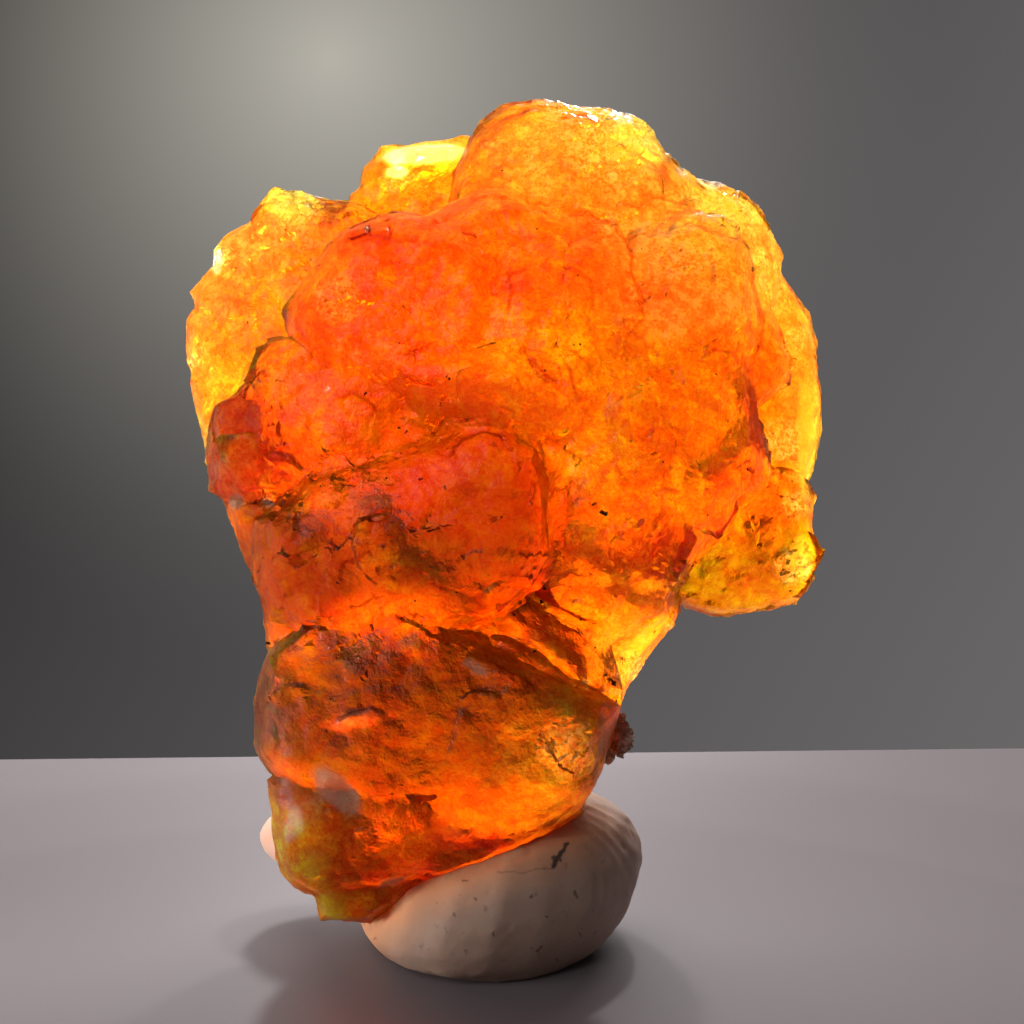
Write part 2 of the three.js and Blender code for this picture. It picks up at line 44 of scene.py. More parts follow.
# Ledges as (rise, reach, points): seen from the front, what lies to the right of the line, walking
# along it, stands out by rise at the line and falls back to the face within reach. The points are
# pixels of the frame.
LEDGE_SHARE = 0.65  # how much of each rise is given
LEDGES = [
    (0.30, 2.6, [(357, 243), (375, 239), (392, 241), (408, 241), (425, 243), (440, 250)]),
    (0.20, 1.4, [(430, 345), (424, 347), (412, 353), (401, 358)]),
    (0.26, 1.6, [(440, 385), (418, 382), (408, 377), (400, 366)]),
    (0.26, 1.8, [(508, 320), (511, 298), (510, 276), (524, 271), (538, 270)]),
    (0.26, 1.5, [(556, 267), (574, 270), (589, 282), (590, 300), (587, 318)]),
    (0.36, 2.4, [(570, 213), (588, 214), (600, 223), (613, 224), (623, 241), (632, 257), (629, 275),
                 (639, 296), (642, 316), (627, 336), (619, 364)]),
    (0.24, 1.8, [(614, 200), (638, 209), (655, 201), (680, 204), (702, 200)]),
    (0.20, 1.2, [(645, 202), (641, 211), (638, 221)]),
    (0.32, 2.4, [(734, 232), (746, 249), (753, 268), (751, 289), (757, 310), (760, 331), (755, 359)]),
    (0.26, 1.5, [(561, 384), (547, 378), (536, 366), (526, 352)]),
    (0.26, 1.5, [(557, 353), (569, 373), (574, 392), (580, 405)]),
    (0.22, 1.4, [(556, 347), (572, 353), (586, 362), (593, 379)]),
    (0.22, 1.2, [(507, 368), (515, 378), (521, 390), (524, 400)]),
    (0.30, 2.2, [(266, 443), (278, 453), (293, 457), (306, 472), (315, 483), (334, 479), (354, 486)]),
    (0.30, 2.0, [(206, 438), (209, 420), (215, 407), (232, 401), (245, 388), (264, 375), (279, 380)]),
    (0.24, 1.6, [(300, 489), (267, 487), (238, 485)]),
    (0.34, 2.4, [(385, 611), (408, 620), (438, 640), (467, 651), (490, 664), (512, 675), (540, 686)]),
    (0.22, 1.6, [(489, 126), (506, 120), (531, 111), (542, 115)]),
    (0.22, 1.4, [(551, 126), (567, 118), (587, 118), (604, 125), (616, 123)]),
    (0.20, 1.4, [(528, 217), (538, 206), (553, 210)]),
    (0.24, 1.5, [(446, 466), (453, 450), (463, 441), (483, 433), (502, 437), (505, 449)]),
    (0.22, 1.6, [(640, 446), (652, 434), (668, 430), (684, 436)]),
    (0.22, 1.4, [(486, 418), (500, 409), (512, 412), (521, 424)]),
    (0.22, 1.6, [(330, 402), (352, 396), (370, 402), (384, 418)]),
    (0.20, 1.4, [(700, 356), (716, 349), (731, 354), (738, 370)]),
    (0.20, 1.4, [(612, 330), (628, 322), (644, 327)]),
    (0.24, 1.5, [(322, 540), (338, 547), (350, 536), (368, 547)]),
    (0.20, 1.4, [(270, 700), (284, 686), (302, 684), (318, 692)]),
    (0.24, 1.6, [(330, 728), (352, 710), (374, 708), (392, 718)]),
    (0.26, 1.6, [(455, 702), (470, 692), (492, 690), (512, 698)]),
    (0.22, 1.4, [(448, 770), (450, 745), (456, 722), (462, 704)]),
    (0.22, 1.4, [(560, 780), (574, 760), (586, 736), (592, 712)]),
]

# Cracks: thin dark lines in the face, in the same pixels.
CRACKS = [
    [(447, 393), (443, 398), (439, 405)], [(447, 417), (438, 428), (429, 438)],
    [(455, 423), (464, 420), (476, 420)], [(288, 563), (297, 566), (309, 561)],
    [(394, 572), (403, 570)], [(746, 468), (753, 474), (751, 481), (756, 491)],
    [(369, 222), (370, 239)], [(390, 223), (391, 241)], [(342, 485), (360, 487)],
    [(560, 266), (575, 271)], [(401, 357), (414, 351), (432, 345)],
    [(408, 378), (419, 383), (438, 386)], [(527, 354), (545, 377), (560, 384)],
    [(594, 503), (600, 512)], [(652, 497), (664, 490), (680, 492)], [(488, 522), (500, 517)],
]

# Crinkled, sparkling places as (x, y, radius in pixels, strength).
CRINKLES = [
    (608, 150, 52, 1.0), (640, 128, 26, 0.8), (560, 118, 26, 0.6), (612, 228, 22, 0.8),
    (680, 262, 26, 1.0), (704, 258, 18, 0.8), (638, 292, 14, 0.7), (728, 214, 30, 1.0),
    (797, 338, 16, 0.8), (782, 440, 26, 0.8), (796, 505, 20, 0.6), (792, 566, 24, 0.8),
    (298, 207, 32, 0.8), (217, 258, 18, 0.9), (194, 360, 10, 0.7), (338, 300, 32, 0.8),
    (628, 664, 22, 0.8), (395, 178, 20, 0.4), (470, 240, 18, 0.4), (566, 748, 36, 0.9),
    (340, 345, 10, 0.6), (355, 352, 10, 0.6), (222, 460, 9, 0.6), (267, 501, 10, 0.6),
    (644, 638, 10, 0.6), (672, 628, 9, 0.6), (585, 684, 9, 0.6),
]

# Dark specks as (x, y, size in pixels).
SPECKS = [
    (311, 260, 3), (247, 323, 2.5), (447, 378, 4), (441, 405, 3), (399, 428, 3), (407, 431, 3),
    (420, 480, 3), (444, 487, 3), (575, 345, 4), (545, 371, 3), (601, 511, 7), (594, 504, 4),
    (539, 600, 7), (548, 587, 5), (515, 613, 4), (534, 652, 4), (580, 616, 4), (594, 623, 3),
    (299, 557, 3), (336, 547, 4), (315, 556, 3), (338, 583, 3), (456, 591, 3), (415, 602, 3),
    (747, 470, 4), (610, 685, 8), (605, 676, 4), (269, 640, 5), (365, 395, 3), (752, 268, 3),
]
SPECK_SCATTER = 330  # smaller ones all over the crystal

# Patches of colour on the front, as (x, y, half width, half height, colour), in pixels of the frame.
AMBER = (1.0, 0.34, 0.012)  # the colour everywhere else
# These patches are partly the crystal's own colour and partly painted light and shade: bright yellow where
# light shines through it, very dark in the middle and low down where little light gets through.
TINTS = [
    (245, 320, 75, 130, (1.0, 0.28, 0.035)), (600, 160, 110, 60, (1.0, 0.70, 0.07)),
    (640, 150, 40, 40, (1.0, 1.0, 0.20)), (232, 415, 40, 75, (1.0, 0.70, 0.02)),
    (340, 360, 150, 120, (0.62, 0.32, 0.0002)), (620, 400, 150, 130, (0.56, 0.68, 0.003)),
    (700, 260, 105, 80, (1.0, 1.0, 0.16)), (450, 490, 125, 125, (0.17, 0.10, 0.0001)),
    (482, 520, 66, 70, (0.08, 0.06, 0.0001)),
    (290, 570, 90, 75, (0.15, 0.065, 0.0)), (400, 720, 190, 95, (0.125, 0.085, 0.0)),
    (555, 755, 62, 62, (0.36, 0.42, 0.02)), (560, 800, 60, 24, (1.0, 0.60, 0.02)),
    (470, 838, 50, 14, (1.0, 0.17, 0.02)), (295, 850, 48, 60, (1.0, 0.60, 0.003)),
    (318, 868, 15, 19, (1.0, 1.0, 0.0)), (335, 906, 16, 20, (1.0, 1.0, 0.0)),
    (357, 719, 34, 8, (0.8, 0.40, 0.10)), (792, 556, 22, 40, (0.45, 0.40, 0.0)),
    (806, 440, 11, 48, (0.6, 0.48, 0.0)), (740, 570, 70, 40, (0.48, 0.34, 0.0)),
    (800, 380, 24, 110, (0.76, 0.46, 0.03)), (515, 602, 22, 14, (0.30, 0.12, 0.0)),
    (540, 626, 22, 22, (0.8, 0.26, 0.02)), (610, 655, 34, 40, (0.85, 0.36, 0.016)),
    (290, 205, 36, 20, (1.0, 1.0, 0.05)),
]
# Faces as clear as glass, some of them painted glints at the rim; bright yellow ones, some of them painted
# sparkle;
# faces with a painted grey reflection; and pockets between the crystals that have grown shut. Each is (x, y,
# half width, half height, turn in degrees), in the same pixels.
CLEAR_FACES_AND_GLINTS = [(424, 154, 46, 10, -4), (397, 172, 12, 7, 0), (622, 117, 13, 7, 20), (681, 171, 6, 4, 40),
         (715, 182, 17, 6, 0), (218, 262, 6, 14, 10)]
YELLOW_SHARE = 0.45  # how bright a yellow face is against a clear one
YELLOW = [(318, 868, 13, 17, 0), (333, 906, 13, 16, 0), (636, 146, 30, 26, 0), (681, 175, 17, 10, 40),
          (722, 212, 24, 18, 40), (806, 440, 9, 60, 0), (800, 556, 10, 22, 0), (644, 640, 8, 40, 40),
          (290, 205, 26, 12, 0)]
# Faces with a painted grey reflection; they also let less light through.
GREY_REFLECTIONS = [(337, 791, 33, 15, 46), (295, 816, 8, 12, 0), (236, 501, 8, 9, 0),
           (268, 502, 7, 4, 40), (476, 668, 16, 6, 30), (392, 882, 16, 3, -18)]
POCKETS = [(470, 420, 24, 14, 0), (330, 467, 22, 14, 0), (745, 310, 22, 34, 0), (582, 418, 18, 14, -40),
           (568, 228, 16, 14, 0), (616, 262, 12, 20, 0), (487, 245, 12, 20, 0), (310, 494, 44, 14, -33),
           (368, 492, 24, 14, 20), (392, 540, 12, 26, 0), (540, 636, 34, 22, 40)]

# The crystal's skin, in millimetres.
STEM_TOP = 19.5  # height of the smoother stem
NECK_TOP = 30.0  # height below which the painted shade at ledges, hollows and rims, and the cracks, are fainter
FRONT_ENDS = 3  # depth up to which the skin is the front's
BACK_STARTS = 8  # depth from which it is the back's
CRACK_DEPTH = 0.12
BIG_FACETS, SMALL_FACETS = (1.7, 51), (0.75, 55)  # size and seed of the facets all over it
BACK_CRINKLE = 0.3  # how crinkled the back's rough places are, against the front's most crinkled

# How the meshes are split and thinned: longest edges in millimetres, angles in degrees.
SHORTEST_EDGE = 0.07  # no edge shorter than this is split
COARSE_FRONT_EDGE, COARSE_BACK_EDGE = 0.6, 0.9  # of the crystal's rough form
FRONT_EDGE, BACK_EDGE = 0.34, 0.6  # of its finished skin
LEDGE_EDGE, CRACK_EDGE, CRINKLE_EDGE = 0.17, 0.15, 0.24
LEDGE_BAND = 0.35  # how far to each side of a ledge's line the edges are short
SMUDGE_EDGE = 0.08  # of the putty under its smudges
UNSPLIT = 5.0  # of the putty elsewhere, where it has no need of short ones
FORM_ANGLE, FACET_ANGLE, SHADE_ANGLE = 34, 25, 26  # what counts as sharp
CRYSTAL_TRIANGLES = 196000  # how many the crystal is thinned to
PUTTY_VOXEL, MATRIX_VOXEL = 0.2, 0.12  # the grids that even out their meshes
WELD_DIGITS = 4  # decimals to which points have to agree to be made one
MOST_SPLITS = 12  # rounds
PULL = 0.6  # share of the way to its neighbours that a free point goes in one round


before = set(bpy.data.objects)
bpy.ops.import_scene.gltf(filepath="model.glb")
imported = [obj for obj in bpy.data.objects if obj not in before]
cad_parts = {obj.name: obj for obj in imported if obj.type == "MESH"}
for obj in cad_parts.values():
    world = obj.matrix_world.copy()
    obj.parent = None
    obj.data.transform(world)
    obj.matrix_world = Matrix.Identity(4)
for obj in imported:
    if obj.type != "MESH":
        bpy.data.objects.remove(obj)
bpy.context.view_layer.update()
random = np.random.default_rng(11)


# ---------------------------------------------------------------- meshes as arrays

def arrays_of(thing):
    """A mesh object's points and triangles."""
    mesh = thing.data
    mesh.calc_loop_triangles()
    points = np.empty(len(mesh.vertices) * 3)
    mesh.vertices.foreach_get("co", points)
    triangles = np.empty(len(mesh.loop_triangles) * 3, dtype=np.int32)
    mesh.loop_triangles.foreach_get("vertices", triangles)
    return points.reshape(-1, 3), triangles.reshape(-1, 3)


def welded(points, faces):
    """The same triangles with points that share a place made one."""
    _, first, same = np.unique(np.round(points, WELD_DIGITS), axis=0, return_index=True,
                               return_inverse=True)
    faces = same.reshape(-1)[faces]
    a, b, c = faces.T
    return points[first], faces[(a != b) & (b != c) & (c != a)]


def node_solid(name):
    """A CAD node's solid, in millimetres."""
    points, faces = arrays_of(bpy.data.objects[name])
    return welded(points / MM, faces)


def mesh_object(name, points, faces, scale=1):
    """A mesh object in the scene, with its points at scale times the ones given."""
    mesh = bpy.data.meshes.new(name)
    mesh.from_pydata((np.asarray(points) * scale).tolist(), [], np.asarray(faces).tolist())
    mesh.update()
    thing = bpy.data.objects.new(name, mesh)
    bpy.context.scene.collection.objects.link(thing)
    return thing


def paint(piece, name, *channels):
    """Four numbers for each point of a piece, kept with its mesh under that name."""
    layer = piece.data.color_attributes.new(name, "FLOAT_COLOR", "POINT")
    layer.data.foreach_set("color", np.stack(channels, axis=1).ravel())


def joined(parts):
    """Several (points, faces) as one."""
    points, faces, start = [], [], 0
    for some_points, some_faces in parts:
        points.append(some_points)
        faces.append(some_faces + start)
        start += len(some_points)
    return np.concatenate(points), np.concatenate(faces)


def through(points, faces, kind, **settings):
    """What a modifier of that kind makes of a mesh."""
    thing = mesh_object("work", points, faces)
    modifier = thing.modifiers.new("work", kind)
    for key, value in settings.items():
        setattr(modifier, key, value)
    depsgraph = bpy.context.evaluated_depsgraph_get()
    old = thing.data
    thing.data = bpy.data.meshes.new_from_object(thing.evaluated_get(depsgraph))
    thing.modifiers.clear()
    bpy.data.meshes.remove(old)
    made = arrays_of(thing)
    bpy.data.objects.remove(thing)
    return made


def thinned(points, faces, most):
    """The same mesh with at most that many triangles. Flat stretches lose theirs first."""
    if len(faces) <= most:
        return points, faces
    return through(points, faces, "DECIMATE", ratio=most / len(faces))


def unit(vectors):
    """The same directions with length one."""
    return vectors / np.maximum(np.linalg.norm(vectors, axis=-1, keepdims=True), 1e-9)


def across_of(points, faces):
    """Each triangle's normal, as long as twice its area."""
    corners = points[faces]
    return np.cross(corners[:, 1] - corners[:, 0], corners[:, 2] - corners[:, 0])


def summed(places, values, count):
    """Rows of values added up by the place each belongs to."""
    return np.stack([np.bincount(places, weights=column, minlength=count) for column in values.T], axis=1)


def normals_of(points, faces):
    """Each point's normal, from the triangles round it by their areas."""
    across = across_of(points, faces)
    total = sum(summed(faces[:, k], across, len(points)) for k in range(3))
    return unit(total)


def edges_of(faces):
    """Every edge once, and which three edges each triangle has."""
    count = faces.max() + 1
    one = np.concatenate([faces[:, 0], faces[:, 1], faces[:, 2]]).astype(np.int64)
    other = np.concatenate([faces[:, 1], faces[:, 2], faces[:, 0]])
    codes, which = np.unique(np.minimum(one, other) * count + np.maximum(one, other), return_inverse=True)
    return np.stack([codes // count, codes % count], axis=1), which.reshape(3, -1).T


def sharp_edges(points, faces, degrees):
    """The edges at which two faces meet at more than that angle."""
    edges, which = edges_of(faces)
    facing = unit(across_of(points, faces))
    total = sum(summed(which[:, k], facing, len(edges)) for k in range(3))
    return edges[np.linalg.norm(total, axis=1) / 2 < math.cos(math.radians(degrees) / 2)]


def split_long(points, faces, longest, degrees):
    """The same surface with edges no longer than longest(place), and which points lie on sharp edges."""
    sharp = sharp_edges(points, faces, degrees)
    for _ in range(MOST_SPLITS):
        edges, which = edges_of(faces)
        length = np.linalg.norm(points[edges[:, 0]] - points[edges[:, 1]], axis=1)
        middle = points[edges].mean(axis=1)
        cut = length > SHORTEST_EDGE
        cut[cut] = length[cut] > longest(middle[cut])
        if not cut.any():
            break
        count = len(points)
        added = np.full(len(edges), -1)
        added[cut] = count + np.arange(cut.sum())
        points = np.concatenate([points, middle[cut]])
        is_sharp = np.isin(edges @ [count, 1], sharp @ [count, 1])
        ends, between = edges[is_sharp & cut], added[is_sharp & cut]
        halves = [np.stack([ends[:, k], between], axis=1) for k in range(2)]
        sharp = np.concatenate([edges[is_sharp & ~cut], *halves])
        faces = split_faces(points, faces, added[which])
    on_sharp = np.zeros(len(points), dtype=bool)
    on_sharp[sharp.ravel()] = True
    return points, faces, on_sharp


def split_faces(points, faces, added):
    """Triangles parted at the points added on their edges; -1 stands for none."""
    cuts = (added >= 0).sum(axis=1)
    (a, b, c), (ab, bc, ca) = faces[cuts == 3].T, added[cuts == 3].T
    parts = [faces[cuts == 0]]
    parts += [np.stack(rows, axis=1) for rows in ((a, ab, ca), (ab, b, bc), (ca, bc, c), (ab, bc, ca))]
    for turn in range(3):
        corners, middles = np.roll(faces, -turn, axis=1), np.roll(added, -turn, axis=1)
        one = (cuts == 1) & (middles[:, 0] >= 0)
        (a, b, c), ab = corners[one].T, middles[one, 0]
        parts += [np.stack(rows, axis=1) for rows in ((a, ab, c), (ab, b, c))]
        two = (cuts == 2) & (middles[:, 2] < 0)
        (a, b, c), (ab, bc, _) = corners[two].T, middles[two].T
        parts.append(np.stack((ab, b, bc), axis=1))
        first = np.linalg.norm(points[ab] - points[c], axis=1)
        first = first < np.linalg.norm(points[a] - points[bc], axis=1)
        corner, opposite = np.where(first, c, bc), np.where(first, ab, a)
        parts.append(np.stack((a, ab, corner), axis=1))
        parts.append(np.stack((opposite, bc, c), axis=1))
    return np.concatenate(parts)


def smoothed(points, faces, free, rounds):
    """Points drawn towards their neighbours, each by its own freedom from 0 to 1."""
    (one, other), count = edges_of(faces)[0].T, len(points)
    neighbours = np.bincount(one, minlength=count) + np.bincount(other, minlength=count)
    points = points.copy()
    for _ in range(rounds):
        total = summed(one, points[other], count) + summed(other, points[one], count)
        points += (total / neighbours[:, None] - points) * (PULL * free)[:, None]
    return points


def scattered(points, faces, count):
    """Points spread over a mesh by area, with the normals of the faces they lie on."""
    across = across_of(points, faces)
    area = np.linalg.norm(across, axis=1)
    chosen = random.choice(len(faces), size=count, p=area / area.sum())
    a, b = random.random((2, count, 1))
    fold = a + b > 1
    a, b = np.where(fold, 1 - a, a), np.where(fold, 1 - b, b)
    corners = points[faces[chosen]]
    places = corners[:, 0] * (1 - a - b) + corners[:, 1] * a + corners[:, 2] * b
    return places, unit(across[chosen])


# ---------------------------------------------------------------- noise and falloffs

LATTICE_STEPS = np.array([73856093, 19349663, 83492791])  # primes, so that neighbours are unlike


def lattice(cell, seed):
    """A repeatable number from -1 to 1 for each lattice cell."""
    mixed = cell.astype(np.int64) @ LATTICE_STEPS + seed * 2654435761
    mixed = (mixed ^ (mixed >> 15)) * 2246822519 & 0xFFFFFFFF
    mixed = (mixed ^ (mixed >> 13)) * 3266489917 & 0xFFFFFFFF
    return ((mixed ^ (mixed >> 16)) & 0xFFFFFF) / 0x7FFFFF - 1


def soft_noise(points, size, seed):
    """Smooth noise from -1 to 1 with lumps about size across."""
    place = points / size
    cell = np.floor(place)
    share = place - cell
    share = share * share * (3 - 2 * share)
    total = np.zeros(len(points))
    for corner in np.ndindex(2, 2, 2):
        weight = np.prod(np.where(corner, share, 1 - share), axis=1)
        total += weight * lattice(cell + corner, seed)
    return total


def rough_noise(points, size, seed, octaves=3):
    """Noise from -1 to 1 with lumps about size across and finer ones on them."""
    return sum(soft_noise(points, size / 2**k, seed + k) / 2**k for k in range(octaves)) / 2


def wandering(points, size, seeds):
    """Rough noise in several directions, one column for each seed."""
    return np.stack([rough_noise(points, size, seed) for seed in seeds], axis=1)


def broken_ground(points, size, seed):
    """Cells about size across: each point's cell, its place from the seat, and its distance from the rim."""
    place = points / size
    base = np.floor(place)
    nearest, second = np.full((2, len(points)), np.inf)
    cells, places = np.zeros((2, len(points), 3))
    for corner in np.ndindex(3, 3, 3):
        cell = base + np.array(corner) - 1
        seat = cell + 0.5 + 0.45 * np.stack([lattice(cell, seed + k) for k in range(3)], axis=1)
        distance = np.linalg.norm(place - seat, axis=1)
        nearer = distance < nearest
        second = np.where(nearer, nearest, np.minimum(second, distance))
        nearest = np.where(nearer, distance, nearest)
        cells[nearer], places[nearer] = cell[nearer], (place - seat)[nearer]
    return cells, places, second - nearest


def humps(points, size, seed):
    """Low humps about size across that meet in creases, as the height over the face: from -1 to 1."""
    _, places, _ = broken_ground(points, size, seed)
    return 1 - 2 * np.minimum(np.linalg.norm(places, axis=1), 1)**1.5


def broken_noise(points, size, seed):
    """Flat facets of random tilt, about size across, as the height over the face: from -1 to 1."""
    cells, places, _ = broken_ground(points, size, seed)
    tilt = np.stack([lattice(cells, seed + 5 + k) for k in range(3)], axis=1)
    return (places * tilt).sum(axis=1)


def step(value, low, high):
    """0 below low, 1 above high and smooth between."""
    share = np.clip((value - low) / (high - low), 0, 1)
    return share * share * (3 - 2 * share)


def ramped(value, low, high, dark, light):
    """A colour from dark at low to light at high, for each value."""
    share = np.clip((value - low) / (high - low), 0, 1)[:, None]
    return np.array(dark) * (1 - share) + np.array(light) * share


# ---------------------------------------------------------------- the front view

def in_view(points):
    """Where points show in the frame, in pixels."""
    depth = points[:, 1] - EYE[1]
    across = FRAME / 2 + FOCAL * (points[:, 0] - EYE[0]) / depth
    down = FRAME / 2 - FOCAL * (points[:, 2] - EYE[2]) / depth
    return np.stack([across, down], axis=1)


def seen_at(surface, x, y):
    """The place of the surface at a pixel of the frame, or None."""
    towards = Vector(((x - FRAME / 2) / FOCAL, 1, (FRAME / 2 - y) / FOCAL)).normalized()
    return surface.ray_cast(Vector(EYE), towards)[0]


def front_share(points):
    """1 on the front of the crystal, 0 on its back and smooth between."""
    return 1 - step(points[:, 1], FRONT_ENDS, BACK_STARTS)


def along_line(pixels, line):
    """How far pixels lie to the right of a line, in millimetres, and how far from its nearer end."""
    best = np.full(len(pixels), np.inf)
    side, inward = np.zeros(len(pixels)), np.zeros(len(pixels))
    corners = np.array(line, dtype=float)
    runs = np.linalg.norm(np.diff(corners, axis=0), axis=1)
    starts = np.concatenate([[0], np.cumsum(runs)])
    for start, end, run, before in zip(corners[:-1], corners[1:], runs, starts):
        way = (end - start) / run
        offset = pixels - start
        share = np.clip(offset @ way, 0, run)
        away = np.linalg.norm(offset - share[:, None] * way, axis=1)
        turned = way[0] * offset[:, 1] - way[1] * offset[:, 0]
        nearer = away < best
        best = np.where(nearer, away, best)
        side = np.where(nearer, np.sign(turned) * away, side)
        inward = np.where(nearer, np.minimum(before + share, starts[-1] - before - share), inward)
    return side * PIXEL, inward * PIXEL


def near_line(pixels, line, reach):
    """Which pixels lie within reach, in millimetres, of the box around a line."""
    low, high = np.min(line, axis=0) - reach / PIXEL, np.max(line, axis=0) + reach / PIXEL
    return ((pixels > low) & (pixels < high)).all(axis=1)


def crinkle(points):
    """How crinkled the crystal is, from 0 to 1. The back is crinkled in patches of its own."""
    pixels = in_view(points)
    total = np.zeros(len(points))
    for x, y, radius, strength in CRINKLES:
        away = np.hypot(pixels[:, 0] - x, pixels[:, 1] - y) / radius
        total = np.maximum(total, strength * (1 - step(away, 0.4, 1.15)))
    behind = step(points[:, 1], 5, BACK_STARTS)
    rough_back = step(soft_noise(points, 7, 31), 0.2, 0.6)
    ragged = step(total * (1 + 0.6 * rough_noise(points, 1.5, 33)), 0.15, 0.6) * total
    return np.where(behind > 0, behind * rough_back * BACK_CRINKLE, 0) + ragged * (1 - behind)


def ledge_relief(points, facing):
    """How far the ledges raise the front's points, and how near each lies to a ledge's foot or crack."""
    pixels = in_view(points)
    front = facing[:, 1] < 0.1
    rise, line_mark = np.zeros(len(points)), np.zeros(len(points))
    jitter = 0.28 * rough_noise(points, 1.1, 41)
    for height, reach, line in LEDGES:
        near = np.flatnonzero(front & near_line(pixels, line, reach))
        side, inward = along_line(pixels[near], line)
        side = side + jitter[near]
        ends = step(inward, 0, 0.9)
        raised = step(side, -0.14, 0.16) * (1 - step(side, 0.25, reach)) * height * LEDGE_SHARE * ends
        rise[near] = np.maximum(rise[near], raised)
        # The foot of each ledge is marked for painted shade.
        foot = (1 - step(np.abs(side + 0.1), 0.04, 0.2)) * ends
        line_mark[near] = np.maximum(line_mark[near], foot * 0.8)
    for line in CRACKS:
        near = np.flatnonzero(front & near_line(pixels, line, 0.5))
        side, inward = along_line(pixels[near], line)
        groove = (1 - step(np.abs(side + jitter[near] * 0.4), 0.03, 0.16)) * step(inward, 0, 0.3)
        rise[near] -= CRACK_DEPTH * groove
        line_mark[near] = np.maximum(line_mark[near], groove)
    return rise, line_mark


# ---------------------------------------------------------------- the crystal

def front_detail(middle):
    """Longest edge allowed at a place: short by the ledges and crinkles, long at the back."""
    in_front = middle[:, 1] < FRONT_ENDS
    fine = np.where(in_front, FRONT_EDGE, BACK_EDGE)
    pixels = in_view(middle)
    for _, _, line in LEDGES:
        near = np.flatnonzero(near_line(pixels, line, 0.3) & in_front)
        side, _ = along_line(pixels[near], line)
        fine[near] = np.minimum(fine[near], np.where(np.abs(side) < LEDGE_BAND, LEDGE_EDGE, FRONT_EDGE))
    for line in CRACKS:
        near = np.flatnonzero(near_line(pixels, line, 0.3) & in_front)
        fine[near] = CRACK_EDGE
    for x, y, radius, _ in CRINKLES:
        close = (np.hypot(pixels[:, 0] - x, pixels[:, 1] - y) < radius) & (middle[:, 1] < 5)
        fine[close] = np.minimum(fine[close], CRINKLE_EDGE)
    return fine


def coarse_detail(middle):
    """Longest edge allowed in the rough form."""
    return np.where(middle[:, 1] < 4, COARSE_FRONT_EDGE, COARSE_BACK_EDGE)


def bent(points):
    """Points pushed about, so that what is laid out by them has no straight edges."""
    return points + 0.5 * wandering(points, 1.4, (45, 46, 47))


def wrinkles(points, crinkled):
    """Small humps and broken facets all over, rougher where the face is crinkled."""
    warped = bent(points)
    even = 0.14 * broken_noise(warped, *BIG_FACETS) + 0.06 * broken_noise(warped, *SMALL_FACETS)
    calm = 1 - 0.6 * step(STEM_TOP - points[:, 2], 0, 3)
    return 0.08 * humps(warped, 1.2, 57) + even * calm + 0.24 * crinkled * broken_noise(warped, 0.7, 61)


def squarely(points, faces):
    """How squarely the rough form faces the front or the back, from 0 at the outline to 1."""
    coarse = unit(smoothed(normals_of(points, faces), faces, np.ones(len(points)), 8))
    return step(np.abs(coarse[:, 1]), 0.35, 0.7)


def crystal_mesh():
    """The solid's rough form worn rounder, its pockets filled, then its fine skin on top."""
    points, faces = node_solid("wulfenite_cluster")
    points, faces, on_sharp = split_long(points, faces, coarse_detail, FORM_ANGLE)
    held = on_sharp & (patches(points, POCKETS) < 0.5)
    points = smoothed(points, faces, np.where(held, 0.6 * squarely(points, faces), 1.0), 14)
    points = smoothed(points, faces, patches(points, POCKETS) * (points[:, 1] < 5), 60)
    points, faces, on_sharp = split_long(points, faces, front_detail, FACET_ANGLE)
    normals = normals_of(points, faces)
    rise, _ = ledge_relief(points, normals)
    loose = np.where(on_sharp, 0.8, 1.0)
    swell = 0.12 * soft_noise(points, 2.4, 1) + 0.04 * rough_noise(points, 0.8, 7)
    points = points + normals * ((swell + wrinkles(points, crinkle(points))) * loose + rise)[:, None]
    return thinned(points, faces, CRYSTAL_TRIANGLES)


def tinted(points):
    """The colour of the skin at each point: its patch, broken up by blotches, fainter on the back."""
    pixels = in_view(points) + 22 * wandering(points, 3, (71, 72))
    ahead = front_share(points)
    tints = np.tile(AMBER, (len(points), 1))
    tints[:, 2] *= 1 - 0.85 * ahead  # between its patches the front lets less blue through
    # The patches paint in light and shade as well as the crystal's colour.
    for x, y, wide, high, color in TINTS:
        away = np.hypot((pixels[:, 0] - x) / wide, (pixels[:, 1] - y) / high)
        share = ((1 - step(away, 0.55, 1.25)) * ahead)[:, None]
        tints = tints * (1 - share) + np.array(color) * share
    strength = (0.4 + 0.6 * ahead - 0.3 * step(STEM_TOP - points[:, 2], 0, 3))[:, None]
    return np.clip(tints * blotches(points)**strength, 0, 1)


def blotches(points):
    """How clouds and facets colour the skin, with painted shade in the creases between the facets, as a
    factor for each point.
    """
    warped = bent(points)
    factor = ramped(rough_noise(points, 2.4, 77, 4), -0.28, 0.28, (0.92, 0.60, 0.45), (1.0, 1.2, 1.5))
    creases = np.zeros(len(points))
    for (size, seed), width, dark, light in ((BIG_FACETS, 0.14, (0.94, 0.70, 0.6), (1.0, 1.2, 1.4)),
                                             (SMALL_FACETS, 0.22, (0.92, 0.66, 0.5), (1.0, 1.3, 1.7))):
        cells, _, rim = broken_ground(warped, size, seed)
        factor *= ramped(lattice(cells, seed + 9), -1, 1, dark, light)
        creases = np.maximum(creases, 1 - step(rim, 0, width))
    creases = (creases * step(rough_noise(points, 2.0, 79), -0.1, 0.2))[:, None]
    # The creases between the facets are painted darker, as shade.
    return factor * (1 - creases * (1 - np.array((0.82, 0.45, 0.3))))


def patches(points, places):
    """How far each point lies in one of the faces listed, from 0 to 1."""
    pixels = in_view(points) + 2.5 * wandering(points, 0.8, (73, 74))
    total = np.zeros(len(points))
    for x, y, wide, high, turn in places:
        cos, sin = math.cos(math.radians(turn)), math.sin(math.radians(turn))
        across, down = pixels[:, 0] - x, pixels[:, 1] - y
        away = np.hypot((across * cos + down * sin) / wide, (down * cos - across * sin) / high)
        total = np.maximum(total, 1 - step(away, 0.8, 1.1))
    return total


